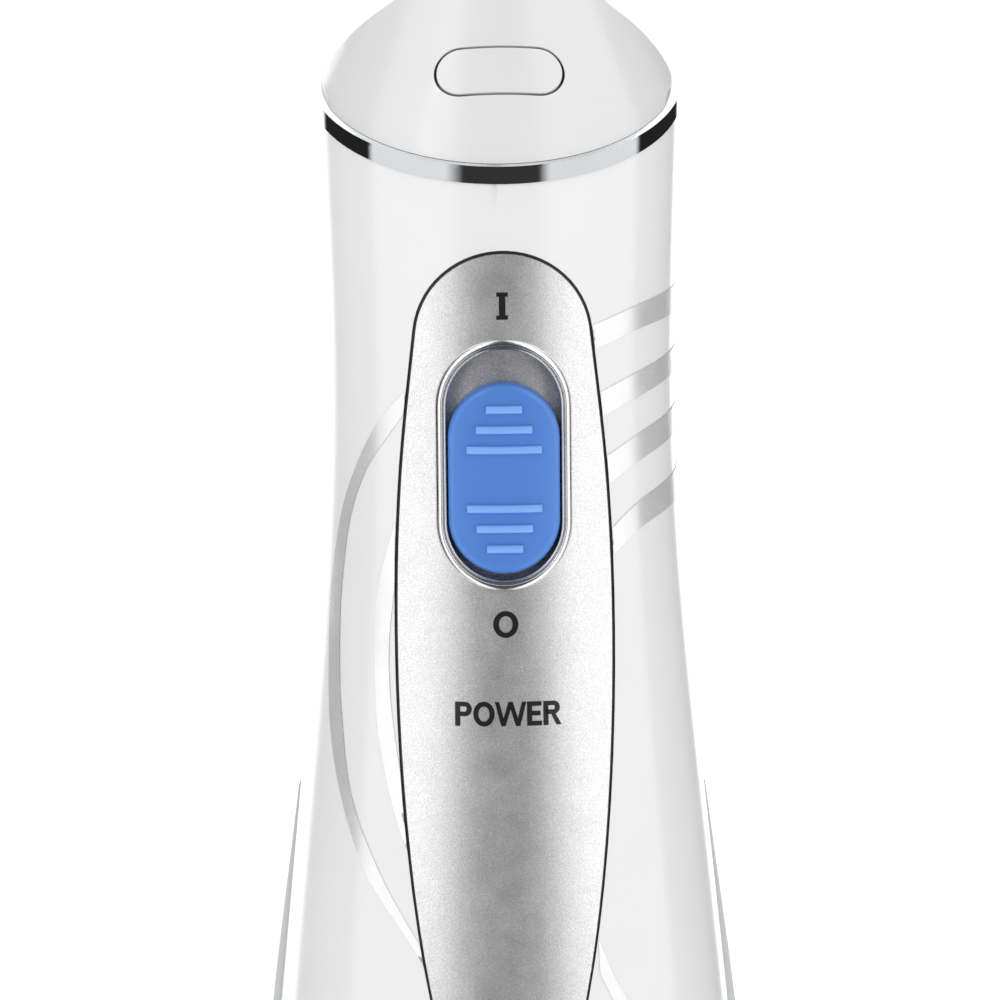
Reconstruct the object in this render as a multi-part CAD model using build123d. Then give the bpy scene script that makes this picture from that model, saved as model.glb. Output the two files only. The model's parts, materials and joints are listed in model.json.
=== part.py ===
from build123d import *
from math import acos, cos, pi, sin, sqrt, tan
import os

# Cordless water flosser. Millimetres, front towards -Y, standing on z = 0.

# --- Driving dimensions ---------------------------------------------------------------
FOOT = 1.0  # height of the rubber feet
WALL = 2.4  # main shell
SLOPE = 0.41  # ring, tank top and shelf planes rise this much per mm towards the back
REACH = 60.0  # half size of cutting blocks
CEILING = 400.0  # top of cutting blocks
GAP = 0.05  # between fixed pieces that face each other
PARTING = 0.1  # front plane of the rear shell

# Outer radius of the body at each height.
BODY_RADII = [
    (FOOT, 35.6), (25.0, 34.2), (49.0, 32.0), (77.0, 29.1),
    (105.7, 26.3), (134.0, 24.9), (163.0, 25.4), (190.0, 26.3),
]  # fmt: skip
# Outer radius of the reservoir, a little wider than the body at its foot and flush at its top.
TANK_RADII = [(FOOT, 37.0), (25.0, 35.5), (49.0, 33.2), (77.0, 29.5), (92.0, 27.8)]

RING_FOOT = 177.7  # chrome ring's lower plane, on the axis
RING_HEIGHT = 2.5
RING_PROUD = 0.25

# Head cap: a domed shoulder cut by a leaning front face, which turns about an axis behind the centre.
SHOULDER_LOW, SHOULDER_RADIUS = 176.0, 25.35
NECK_TOP, NECK_RADIUS = 203.0, 9.5
CAP_WALL = 1.8
FACE_AXIS_Y = 6.5
FACE_LEAN = 0.53  # radius lost per mm of height
FACE_LOW, FACE_BEND = 150.0, 192.0
FACE_RADIUS_LOW = 42.2
FACE_RADIUS_NECK = 18.0

NOZZLE_LOW, NOZZLE_TOP = 170.0, 190.0  # socket that the jet tip plugs into

BUTTON_Z = 182.4
BUTTON_WIDTH, BUTTON_HEIGHT = 17.4, 6.7
BUTTON_GAP = 0.38
LATCH_LOW, LATCH_HIGH, LATCH_HOLE = 191.9, 193.4, 3.4

# Silver control panel, a teardrop.
PANEL_TOP = 157.5
PANEL_ARC = 12.1
PANEL_WIDE_Z, PANEL_HALF_WIDTH = 104.6, 14.93
PANEL_TIP_DROP = 72.6
PANEL_PROUD = 0.3
PANEL_DEPTH = 1.3
SEAL = 0.45

# Slide switch slot in the panel.
SLOT_LOW, SLOT_HIGH, SLOT_HALF = 112.2, 144.2, 7.95
BEZEL = 1.5
BEZEL_PROUD = 0.75
TRACK_RADIUS, TRACK_THICK = 22.4, 1.3
SLIDER_LOW, SLIDER_HALF, SLIDER_LENGTH = 113.0, 7.75, 26.6
SLIDER_RADIUS, SLIDER_BACK = 26.3, 22.8
RIDGE = 0.6
RIDGES = [(4.1, 10.4), (6.9, 7.8), (9.7, 5.0)]  # distance from the slider's middle, length

# Reservoir.
TANK_FRONT = 2.3
TANK_TOP = 77.7  # its top plane, on the axis
TANK_WALL = 1.6
SHELF, SHELF_THICK = 78.0, 2.0  # underside of the body above it, on the axis
DOOR_HALF, DOOR_LOW, DOOR_HIGH = 9.0, 64.0, 78.0
DOOR_GAP = 0.3
HINGE_Y, HINGE_Z = 31.2, 80.2
KNUCKLE, PIN = 1.3, 0.8
BAY_BACK = 2.0  # back face of the wall between the body and the reservoir
PORT_X, PORT_Z, PORT_BORE = -17.0, 10.0, 1.5
NIPPLE_FRONT, NIPPLE_RADIUS = -5.5, 2.58
GROOVE_Y, GROOVE_RADIUS = -3.5, 2.1
CUP_RADIUS = 4.45
RUNNING = 0.05  # radial clearance of pins and pistons

# Drive.
MODULE = 0.6
PINION_TEETH, GEAR_TEETH = 10, 36
DRIVE_Y = 5.0
MOTOR_X = -5.5
MOTOR_RADIUS, MOTOR_LOW, MOTOR_HIGH = 12.0, 95.0, 127.0
GEAR_X = MOTOR_X + MODULE * (PINION_TEETH + GEAR_TEETH) / 2
GEAR_LOW, GEAR_HIGH = 129.4, 132.4
BACKLASH = 0.15
CRANK, CRANK_TOP = 3.0, 137.0
AXLE = 1.2
CHASSIS_LOW, CHASSIS_THICK, CHASSIS_FOOT_Y = 127.2, 1.6, 17.0
ROD_LENGTH, ROD_LOW, ROD_HIGH = 12.8, 137.6, 139.6
PUMP_Z = 138.6
BORE = 4.05
PISTON_BACK, PISTON_LENGTH = -9.3, 4.0
SEAL_LEFT, SEAL_RIGHT, SEAL_BORE = -12.15, -10.85, 3.0
TOWER_X, TOWER_Y = -17.0, -4.5
TOWER_LOW, TOWER_HIGH = 129.0, 149.0
INLET_SEAT, OUTLET_SEAT = 131.0, 142.4
BALL = 1.5
SEAT = 1.0
HOSE, HOSE_BORE = 1.8, 1.1

# Jet tip and its dial.
DIAL_LOW, DIAL_HIGH, DIAL_RADIUS = 203.3, 209.0, 10.0
DIAL_BORE = 6.35
SKIRT_LOW, SKIRT_RADIUS = 198.0, 7.05
DIAL_RIBS = 30
STEM, STEM_LOW = 3.0, 181.0
COLLAR_LOW, COLLAR_TOP, COLLAR_RADIUS = 203.6, 211.0, 8.4
TIP_NECK_TOP, TIP_NECK_RADIUS = 213.6, 6.0
TIP_TUBE = 2.1
TIP_BEND_Z, TIP_BEND_RADIUS, TIP_LENGTH = 272.0, 9.0, 8.0

# Charging socket in the back.
SOCKET_Z, SOCKET_BORE, SOCKET_DEPTH = 106.0, 2.8, 8.0
SOCKET_MOUTH, SLEEVE_RADIUS = 25.9, 3.95
FLAP_FRONT, FLAP_BACK = 27.05, 28.2
FLAP_HINGE_Y, FLAP_HINGE_Z = 28.0, 113.6

LIGHT_Z, LIGHT_RADIUS = 42.0, 1.5
CELL_Y, CELL_LOW, CELL_HIGH, CELL_RADIUS = -13.0, 12.0, 76.0, 9.0
BOARD_LOW, BOARD_HIGH, BOARD_FRONT, BOARD_BACK = 84.0, 142.0, -18.0, -16.4
BASE_SCREWS = [(-18, -14), (18, -14)]
CASE_SCREW_X, CASE_SCREW_Z, SCREW_RADIUS = 9.0, 93.0, 0.9


# --- Helpers --------------------------------------------------------------------------
def post(x, y, low, high, radius):
    """Upright cylinder."""
    return Pos(x, y, (low + high) / 2) * Cylinder(radius, high - low)


def bar_x(y, z, left, right, radius):
    """Cylinder along X."""
    return Pos((left + right) / 2, y, z) * Rot(0, 90, 0) * Cylinder(radius, right - left)


def bar_y(x, z, front, back, radius):
    """Cylinder along Y."""
    return Pos(x, (front + back) / 2, z) * Rot(90, 0, 0) * Cylinder(radius, back - front)


def block(left, right, front, back, low, high):
    """Box between six planes."""
    centre = Pos((left + right) / 2, (front + back) / 2, (low + high) / 2)
    return centre * Box(right - left, back - front, high - low)


def turned(radii, grow=0.0):
    """Solid of revolution about Z through (height, radius) points, grown by a radial amount."""
    side = Spline(*[(radius + grow, z) for z, radius in radii])
    low, high = radii[0][0], radii[-1][0]
    ends = Polyline((radii[-1][1] + grow, high), (0, high), (0, low), (radii[0][1] + grow, low))
    return revolve(Plane.XZ * make_face(side + ends), Axis.Z)


def above(height):
    """Everything above the plane that crosses the axis at this height and rises to the back."""
    rise = SLOPE * REACH
    outline = Polyline(
        (-REACH, height - rise), (REACH, height + rise), (REACH, CEILING), (-REACH, CEILING), close=True
    )
    return extrude(Plane.YZ * make_face(outline), REACH, both=True)


def layer(low, high):
    """Everything between two such planes."""
    return above(low) - above(high)


def front_prism(face):
    """A face drawn in X and Z, carried forward through the front of the body."""
    return extrude(Plane.XZ * face, REACH)


def upright_slot(half, low, high, grow=0.0):
    """Upright face with round ends, drawn in X and Z."""
    slot = SlotOverall(high - low + 2 * grow, 2 * (half + grow), rotation=90)
    return Pos(0, (low + high) / 2) * slot


FRONT = block(-REACH, REACH, -REACH, 0, 0, CEILING)
BACK = block(-REACH, REACH, PARTING, REACH, 0, CEILING)
BODY = turned(BODY_RADII)
INNER = turned(BODY_RADII, -WALL)


# --- Casing ---------------------------------------------------------------------------
def panel_face(grow=0.0):
    """Teardrop: a round top, gently spreading sides and a long half ellipse below."""
    spread = 6.5 * pi / 180
    arc = PANEL_ARC + grow
    centre = PANEL_TOP - PANEL_ARC
    shoulder = (arc * cos(spread), centre + arc * sin(spread))
    wide = (PANEL_HALF_WIDTH + grow, PANEL_WIDE_Z)
    middle = (13.9 + grow, 129.7)

    def flip(point):
        return (-point[0], point[1])

    outward = (sin(spread), -cos(spread))
    right = Spline(shoulder, middle, wide, tangents=[outward, (0, -1)])
    left = Spline(flip(shoulder), flip(middle), flip(wide), tangents=[flip(outward), (0, -1)])
    top = ThreePointArc(flip(shoulder), (0, centre + arc), shoulder)
    tip = EllipticalCenterArc(
        (0, PANEL_WIDE_Z), PANEL_HALF_WIDTH + grow, PANEL_TIP_DROP + grow, start_angle=180, arc_size=180
    )
    return make_face(top + right + tip + left)


def front_shell():
    shell = (BODY - INNER) & FRONT
    shell -= above(RING_FOOT)
    recess = front_prism(panel_face(SEAL)) - turned(BODY_RADII, -PANEL_DEPTH)
    shell -= recess + bar_y(0, LIGHT_Z, -40, -20, LIGHT_RADIUS + GAP)
    return shell - front_prism(upright_slot(SLOT_HALF, SLOT_LOW, SLOT_HIGH, BEZEL))


def rear_shell():
    upper = (BODY - INNER) & BACK & above(SHELF)
    upper -= above(RING_FOOT)
    shelf = BODY & BACK & layer(SHELF, SHELF + SHELF_THICK)
    bay_wall = BODY & block(-REACH, REACH, PARTING, BAY_BACK, FOOT, SHELF + SHELF_THICK / 2)
    shell = upper + shelf + bay_wall
    for x in (-CASE_SCREW_X, CASE_SCREW_X):
        boss = block(x - 2.5, x + 2.5, 19.55, REACH, CASE_SCREW_Z - 3, CASE_SCREW_Z + 3) & INNER
        shell += (boss & above(SHELF + 1)) - bar_y(x, CASE_SCREW_Z, 19, 23.5, SCREW_RADIUS)
    shell -= bar_y(PORT_X, PORT_Z, -1, BAY_BACK + 1, CUP_RADIUS + GAP)
    return shell - bar_y(0, SOCKET_Z, 15, 40, SLEEVE_RADIUS + GAP)


def base_plate():
    disc = turned(BODY_RADII, -WALL - GAP) & block(-REACH, REACH, -REACH, 0, FOOT, FOOT + 2.4)
    for x, y in BASE_SCREWS:
        disc -= post(x, y, FOOT, FOOT + 1.25, 2.4) + post(x, y, FOOT, FOOT + 3, 1.25)
    return disc


def pads(places, radius):
    return Compound(children=[post(x, y, 0, FOOT, radius) for x, y in places])


def chrome_ring():
    rim = turned(BODY_RADII, RING_PROUD) - INNER
    return rim & layer(RING_FOOT + GAP, RING_FOOT + RING_HEIGHT)


def shoulder_radius(height):
    """Half width of the head seen from the front: an S-curve from the body to the neck."""
    rise = max(0.0, (height - SHOULDER_LOW) / (NECK_TOP - SHOULDER_LOW))
    return NECK_RADIUS + (SHOULDER_RADIUS - NECK_RADIUS) * (1 + cos(pi * rise**1.1)) / 2


def shoulder_section(height, shrink):
    """Round in front, and fuller behind, where the head meets the ring higher up."""
    lean = SLOPE * min(1.0, (NECK_TOP - height) / 15)
    points = []
    for step in range(5):
        angle = pi * step / 4
        radius = shoulder_radius(height)
        for _ in range(30):
            radius = shoulder_radius(height - lean * radius * sin(angle))
        points.append(((radius - shrink) * cos(angle), (radius - shrink) * sin(angle)))
    back = Spline(*points, tangents=[(0, 1), (0, -1)])
    front = CenterArc((0, 0), shoulder_radius(height) - shrink, 180, 180)
    return Pos(0, 0, height) * make_face(back + front)


def shoulder(shrink=0.0):
    heights = (166, SHOULDER_LOW, 180, 184, 188, 191, 194, 197, 200, NECK_TOP)
    return loft([shoulder_section(height, shrink) for height in heights])


def leaning_face(shrink=0.0):
    """Solid behind the leaning front face of the head."""
    low = (FACE_RADIUS_LOW - shrink, FACE_LOW)
    bend = (FACE_RADIUS_LOW - shrink - FACE_LEAN * (FACE_BEND - FACE_LOW), FACE_BEND)
    neck = (FACE_RADIUS_NECK - shrink, NECK_TOP)
    side = Line(low, bend) + Spline(bend, neck, tangents=[(-FACE_LEAN, 1), (0, 1)])
    ends = Polyline(neck, (0, NECK_TOP), (0, FACE_LOW), low)
    return Pos(0, FACE_AXIS_Y, 0) * revolve(Plane.XZ * make_face(side + ends), Axis.Z)


def button_plane():
    radius = FACE_RADIUS_LOW - FACE_LEAN * (BUTTON_Z - FACE_LOW)
    return Plane(origin=(0, FACE_AXIS_Y - radius, BUTTON_Z), x_dir=(1, 0, 0), z_dir=(0, -1, FACE_LEAN))


def button_prism(grow, outer, depth):
    """The button's rounded outline, from a height above the face to a depth below it."""
    outline = SlotOverall(BUTTON_WIDTH + 2 * grow, BUTTON_HEIGHT + 2 * grow)
    plane = button_plane()
    return extrude(plane.offset(-depth) * outline, outer + depth)


def head_cap():
    solid = shoulder() & leaning_face() & above(RING_FOOT + RING_HEIGHT + GAP)
    solid -= shoulder(CAP_WALL) & leaning_face(CAP_WALL)
    return solid - button_prism(BUTTON_GAP, 6, 6)


# --- Control panel and switch ------------------------------------------------------------
def control_panel():
    sheet = turned(BODY_RADII, PANEL_PROUD) - turned(BODY_RADII, GAP - PANEL_DEPTH)
    sheet &= front_prism(panel_face())
    sheet -= bar_y(0, LIGHT_Z, -40, -20, LIGHT_RADIUS + GAP)
    return sheet - front_prism(upright_slot(SLOT_HALF, SLOT_LOW, SLOT_HIGH, BEZEL + 0.02))


def panel_gasket():
    band = turned(BODY_RADII, -0.25) - turned(BODY_RADII, GAP - PANEL_DEPTH)
    return band & (front_prism(panel_face(SEAL - 0.02)) - front_prism(panel_face(0.02)))


def slot_bezel():
    sleeve = front_prism(upright_slot(SLOT_HALF, SLOT_LOW, SLOT_HIGH, BEZEL))
    sleeve -= front_prism(upright_slot(SLOT_HALF, SLOT_LOW, SLOT_HIGH))
    sleeve &= turned(BODY_RADII, BEZEL_PROUD)
    return sleeve - post(0, 0, 90, 160, TRACK_RADIUS + GAP)


def slide_track():
    """Floor of the slot, with the opening that the slider's stem runs in."""
    arc = post(0, 0, SLOT_LOW - 3.5, SLOT_HIGH + 3.5, TRACK_RADIUS)
    arc -= post(0, 0, SLOT_LOW - 4, SLOT_HIGH + 4, TRACK_RADIUS - TRACK_THICK)
    arc &= block(-10.8, 10.8, -REACH, 0, 90, 160)
    return arc - block(-2.3, 2.3, -REACH, 0, 120.5, 136.5)


def power_slider():
    high = SLIDER_LOW + SLIDER_LENGTH
    dome = post(0, 0, 100, 160, SLIDER_RADIUS)
    pad = front_prism(upright_slot(SLIDER_HALF, SLIDER_LOW, high)) & dome
    rim = pad.faces().sort_by(Axis.Y)[0].edges()
    pad = fillet(rim, 1.1)
    pad -= post(0, 0, 100, 160, SLIDER_BACK)
    middle = SLIDER_LOW + SLIDER_LENGTH / 2
    for distance, length in RIDGES:
        for z in (middle - distance, middle + distance):
            bead = Pos(0, 0, z) * Torus(SLIDER_RADIUS, RIDGE)
            bead &= block(-length / 2, length / 2, -REACH, 0, z - 1, z + 1)
            pad += bead
    return pad + block(-2.0, 2.0, -24.5, -20.6, 123.0, 130.0)


def switch_carriage():
    plate = block(-4.0, 4.0, -20.5, -19.9, 119.0, 131.0)
    nub = block(-0.8, 0.8, -19.9, -18.6, 124.5, 126.5)
    return plate + nub


def slide_switch():
    body = block(-3.6, 3.6, BOARD_FRONT - 1.6, BOARD_FRONT, 120.0, 135.0)
    return body - block(-1.1, 1.1, -21, BOARD_FRONT - 0.4, 124.0, 131.2)


def circuit_board():
    """Board with four components on its back."""
    board = block(-11, 11, BOARD_FRONT, BOARD_BACK, BOARD_LOW, BOARD_HIGH)
    for x, z, width, height in ((-5, 92, 6, 6), (5, 100, 5, 8), (4, 112, 7, 4), (-6, 110, 4, 5)):
        board += block(x - width / 2, x + width / 2, BOARD_BACK, BOARD_BACK + 1.4, z, z + height)
    return board


def charge_light():
    """Small lens low on the panel, with its light pipe."""
    return bar_y(0, LIGHT_Z, -34.0, -28.0, LIGHT_RADIUS) & turned(BODY_RADII, PANEL_PROUD + 0.1)


# --- Release button ------------------------------------------------------------------------
def release_button():
    pad = button_prism(0, 3, 4.1) & leaning_face(-0.12)
    return pad + button_prism(0.9, -4.1, 5.1)


def release_latch():
    """Link behind the button and the plate that holds the jet tip's stem."""
    link_side = Polyline(
        (-15.2, 178.9), (-12.2, 177.2), (-6.6, LATCH_LOW), (-6.6, LATCH_HIGH), (-8.4, LATCH_HIGH), close=True
    )
    link = extrude(Plane.YZ * make_face(link_side), 3.0, both=True)
    link -= button_prism(3, 10, 5.1 + 0.001)
    plate = block(-6.5, 6.5, -7.0, 6.4, LATCH_LOW, LATCH_HIGH)
    front, back = -1.5, -0.1
    window = block(-LATCH_HOLE, LATCH_HOLE, front, back, LATCH_LOW - 1, LATCH_HIGH + 1)
    for y in (front, back):
        window += post(0, y, LATCH_LOW - 1, LATCH_HIGH + 1, LATCH_HOLE)
    return link + (plate - window)


def latch_spring():
    """Leaf that pushes the button back, standing beside the link."""
    leaf = Polyline((-15.5, 170.9), (-15.1, 171.1), (-11.9, 177.6), (-12.3, 177.8), close=True)
    return Pos(4.6, 0, 0) * extrude(Plane.YZ * make_face(leaf), 1.0, both=True)


# --- Jet tip ----------------------------------------------------------------------------------
def nozzle_socket():
    """Frame across the top of the body, with the socket that the jet tip plugs into."""
    frame = turned(BODY_RADII, -WALL - GAP) & layer(174.0, 176.0)
    frame += post(0, 0, NOZZLE_LOW, NOZZLE_TOP, 5.0)
    frame -= post(0, 0, STEM_LOW - 1, NOZZLE_TOP + 1, STEM + RUNNING)
    return frame - post(0, 0, NOZZLE_LOW - 1, STEM_LOW, HOSE_BORE)


def tip_dial():
    ring = post(0, 0, DIAL_LOW, DIAL_HIGH, DIAL_RADIUS) + post(0, 0, SKIRT_LOW, DIAL_LOW, SKIRT_RADIUS)
    for index in range(DIAL_RIBS):
        rib = post(DIAL_RADIUS, 0, DIAL_LOW + 0.8, DIAL_HIGH - 0.8, 0.45)
        ring += Rot(0, 0, 360 / DIAL_RIBS * index) * rib
    return ring - post(0, 0, SKIRT_LOW - 1, DIAL_HIGH + 1, DIAL_BORE)


def jet_tip():
    """Stem, collar, tapering tube and bent nozzle."""
    outline = Polyline(
        (0, STEM_LOW), (STEM, STEM_LOW), (STEM, COLLAR_LOW), (DIAL_BORE - RUNNING, COLLAR_LOW),
        (DIAL_BORE - RUNNING, DIAL_HIGH + 0.1), (COLLAR_RADIUS, DIAL_HIGH + 0.1), (COLLAR_RADIUS, COLLAR_TOP),
        (TIP_NECK_RADIUS, COLLAR_TOP), (TIP_NECK_RADIUS, TIP_NECK_TOP), (7.2, 214.0), (5.2, 222.0),
        (3.2, 230.0), (TIP_TUBE, TIP_BEND_Z), (0, TIP_BEND_Z), close=True,
    )  # fmt: skip
    body = revolve(Plane.XZ * make_face(outline), Axis.Z)
    turn = 75
    angle = turn * pi / 180
    path = Plane.YZ * CenterArc((-TIP_BEND_RADIUS, TIP_BEND_Z), TIP_BEND_RADIUS, 0, turn)
    tube = sweep(Plane((0, 0, TIP_BEND_Z)) * Circle(TIP_TUBE), path=path)
    end = (0, TIP_BEND_RADIUS * (cos(angle) - 1), TIP_BEND_Z + TIP_BEND_RADIUS * sin(angle))
    aim = Plane(origin=end, z_dir=(0, -sin(angle), cos(angle)))
    nose = aim * Pos(0, 0, TIP_LENGTH / 2) * Cone(TIP_TUBE, 1.2, TIP_LENGTH)
    orifice = aim * Pos(0, 0, TIP_LENGTH) * Cylinder(0.4, 2 * TIP_LENGTH)
    return body + tube + nose - orifice


def tip_ring():
    low, high = COLLAR_TOP + 0.1, TIP_NECK_TOP - 0.2
    return post(0, 0, low, high, 7.6) - post(0, 0, low - 1, high + 1, TIP_NECK_RADIUS + 0.02)


def ring_seal(x, y, z, major, minor):
    return Pos(x, y, z) * Torus(major, minor)


# --- Reservoir ----------------------------------------------------------------------------------
def tank_space(shrink):
    """The reservoir's outer form, shrunk by a wall on every side."""
    solid = turned(TANK_RADII, -shrink)
    solid &= block(-REACH, REACH, TANK_FRONT + shrink, REACH, FOOT + shrink, CEILING)
    return solid - above(TANK_TOP - shrink * sqrt(1 + SLOPE**2))


def tank_shell():
    shell = tank_space(0) - tank_space(TANK_WALL)
    shell -= block(-DOOR_HALF, DOOR_HALF, 15, REACH, DOOR_LOW, DOOR_HIGH)
    shell -= bar_y(PORT_X, PORT_Z, TANK_FRONT - 1, TANK_FRONT + 3, 2.6)
    for left, right in ((-8.3, -6.2), (6.2, 8.3)):
        ear = block(left, right, 26.4, 32.4, 79.0, 82.0)
        shell += ear - turned(TANK_RADII, -0.5)
    return shell - bar_x(HINGE_Y, HINGE_Z, -9, 9, PIN)


def fill_door():
    half = DOOR_HALF - DOOR_GAP
    plate = turned(TANK_RADII) - turned(TANK_RADII, -TANK_WALL)
    plate &= block(-half, half, 15, REACH, DOOR_LOW + DOOR_GAP, DOOR_HIGH - DOOR_GAP)
    arm = block(-5.8, 5.8, 28.6, 31.2, 73.0, 77.6) - turned(TANK_RADII, -0.8)
    arm += block(-5.8, 5.8, 29.9, 31.2, 77.5, HINGE_Z)
    arm += bar_x(HINGE_Y, HINGE_Z, -5.8, 5.8, KNUCKLE)
    thumb_lip = block(-5, 5, 30.0, 32.2, 65.2, 66.4) - turned(TANK_RADII, -0.4)
    return plate + arm + thumb_lip - bar_x(HINGE_Y, HINGE_Z, -9, 9, PIN + RUNNING)


def door_gasket():
    band = turned(TANK_RADII, -TANK_WALL - 0.02) - turned(TANK_RADII, -3.0)
    band &= block(-8.2, 8.2, 15, REACH, 65.8, 77.0)
    return band - block(-6.6, 6.6, 15, REACH, 67.4, 75.4)


def door_pin():
    return bar_x(HINGE_Y, HINGE_Z, -8.3, 8.3, PIN)


def tank_outlet():
    """Nipple with an O-ring groove."""
    nipple = bar_y(PORT_X, PORT_Z, NIPPLE_FRONT, TANK_FRONT + TANK_WALL, NIPPLE_RADIUS)
    groove = bar_y(PORT_X, PORT_Z, GROOVE_Y - 0.6, GROOVE_Y + 0.6, NIPPLE_RADIUS)
    groove -= bar_y(PORT_X, PORT_Z, GROOVE_Y - 1, GROOVE_Y + 1, GROOVE_RADIUS)
    return nipple - groove - bar_y(PORT_X, PORT_Z, NIPPLE_FRONT - 1, TANK_FRONT + TANK_WALL + 1, PORT_BORE)


def outlet_oring():
    return Pos(PORT_X, GROOVE_Y, PORT_Z) * Rot(90, 0, 0) * Torus(GROOVE_RADIUS + 0.55, 0.52)


def inlet_port():
    """Socket in the bay wall that the reservoir's outlet pushes into, with an upright hose barb."""
    cup = bar_y(PORT_X, PORT_Z, -8.0, BAY_BACK, CUP_RADIUS) - bar_y(PORT_X, PORT_Z, -6.4, BAY_BACK + 1, 3.22)
    barb = post(PORT_X, TOWER_Y, PORT_Z + 3.8, PORT_Z + 9.0, HOSE_BORE - 0.02)
    return cup + barb - post(PORT_X, TOWER_Y, PORT_Z, PORT_Z + 10, 0.6)


# --- Charging ---------------------------------------------------------------------------------------
def charge_socket():
    front = SOCKET_MOUTH - SOCKET_DEPTH
    sleeve = bar_y(0, SOCKET_Z, front - 0.7, SOCKET_MOUTH, SLEEVE_RADIUS)
    return sleeve - bar_y(0, SOCKET_Z, front, SOCKET_MOUTH + 1, SOCKET_BORE)


def charge_cover():
    """Rubber flap with a hinge roll along its top."""
    flap = bar_y(0, SOCKET_Z, FLAP_FRONT, FLAP_BACK, 5.4)
    flap += block(-2.6, 2.6, FLAP_FRONT, FLAP_BACK, SOCKET_Z + 3, FLAP_HINGE_Z)
    flap += bar_x(FLAP_HINGE_Y, FLAP_HINGE_Z, -2.6, 2.6, 1.1)
    return flap - bar_x(FLAP_HINGE_Y, FLAP_HINGE_Z, -4, 4, 0.5 + RUNNING)


def cover_pin():
    pin = bar_x(FLAP_HINGE_Y, FLAP_HINGE_Z, -4.4, 4.4, 0.5)
    for left, right in ((-4.4, -2.9), (2.9, 4.4)):
        ear = block(left, right, 25.0, FLAP_HINGE_Y + 0.8, FLAP_HINGE_Z - 1, FLAP_HINGE_Z + 1)
        pin += ear - turned(BODY_RADII, GAP)
    return pin


# --- Drive ------------------------------------------------------------------------------------------
def gear_face(teeth, addendum):
    """Involute gear outline at 20 degrees, with radial flanks below the base circle."""
    pressure = 20 * pi / 180
    pitch = MODULE * teeth / 2
    base = pitch * cos(pressure)
    tip = pitch + addendum * MODULE
    root = pitch - 1.25 * MODULE

    def involute(radius):
        angle = acos(min(1.0, base / radius))
        return tan(angle) - angle

    half = (pi * MODULE / 2 - BACKLASH / 2) / (2 * pitch) + involute(pitch)
    start = max(base, root)
    flank = [start + (tip - start) * step / 4 for step in range(5)]
    points = []
    for tooth in range(teeth):
        middle = 2 * pi * tooth / teeth
        polar = [(root, middle - half)] + [(r, middle - half + involute(r)) for r in flank]
        polar += [(r, middle + half - involute(r)) for r in reversed(flank)] + [(root, middle + half)]
        points += [(r * cos(a), r * sin(a)) for r, a in polar]
    return make_face(Polyline(*points, close=True))


def drive_pinion():
    gear = extrude(gear_face(PINION_TEETH, 1.0), GEAR_HIGH - GEAR_LOW)
    shaft = post(MOTOR_X, DRIVE_Y, MOTOR_HIGH - 3, GEAR_HIGH + 0.6, 1.0)
    return Pos(MOTOR_X, DRIVE_Y, GEAR_LOW) * gear + shaft


def motor_can():
    can = post(MOTOR_X, DRIVE_Y, MOTOR_LOW, MOTOR_HIGH, MOTOR_RADIUS)
    can -= post(MOTOR_X, DRIVE_Y, MOTOR_HIGH - 3.5, MOTOR_HIGH + 1, 1.0 + RUNNING)
    return can + post(MOTOR_X, DRIVE_Y, MOTOR_LOW - 2, MOTOR_LOW, 4.0)


def crank_gear():
    """Gear with a raised boss and the eccentric crank pin."""
    gear = extrude(Rot(0, 0, 180 / GEAR_TEETH) * gear_face(GEAR_TEETH, 0.6), GEAR_HIGH - GEAR_LOW)
    solid = Pos(GEAR_X, DRIVE_Y, GEAR_LOW) * gear
    solid += post(GEAR_X, DRIVE_Y, GEAR_HIGH, CRANK_TOP, 5.4)
    solid += post(GEAR_X - CRANK, DRIVE_Y, CRANK_TOP, ROD_HIGH + 0.6, AXLE)
    return solid - post(GEAR_X, DRIVE_Y, GEAR_LOW - 1, CRANK_TOP - 1, AXLE + RUNNING)


def gear_axle():
    return post(GEAR_X, DRIVE_Y, CHASSIS_LOW, 135.8, AXLE)


def connecting_rod():
    big = GEAR_X - CRANK
    rod = post(big, DRIVE_Y, ROD_LOW, ROD_HIGH, 2.7) + post(big - ROD_LENGTH, DRIVE_Y, ROD_LOW, ROD_HIGH, 1.5)
    rod += block(big - ROD_LENGTH, big, DRIVE_Y - 1.2, DRIVE_Y + 1.2, ROD_LOW, ROD_HIGH)
    return rod - post(big, DRIVE_Y, ROD_LOW - 1, ROD_HIGH + 1, AXLE + RUNNING)


def pump_piston():
    solid = bar_x(DRIVE_Y, PUMP_Z, PISTON_BACK - PISTON_LENGTH, PISTON_BACK, BORE - RUNNING)
    groove = bar_x(DRIVE_Y, PUMP_Z, SEAL_LEFT - 0.05, SEAL_RIGHT + 0.05, BORE)
    groove -= bar_x(DRIVE_Y, PUMP_Z, SEAL_LEFT - 1, SEAL_RIGHT + 1, SEAL_BORE)
    return solid - groove


def piston_seal():
    seal = bar_x(DRIVE_Y, PUMP_Z, SEAL_LEFT, SEAL_RIGHT, BORE - 0.02)
    return seal - bar_x(DRIVE_Y, PUMP_Z, SEAL_LEFT - 1, SEAL_RIGHT + 1, SEAL_BORE + 0.02)


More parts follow.
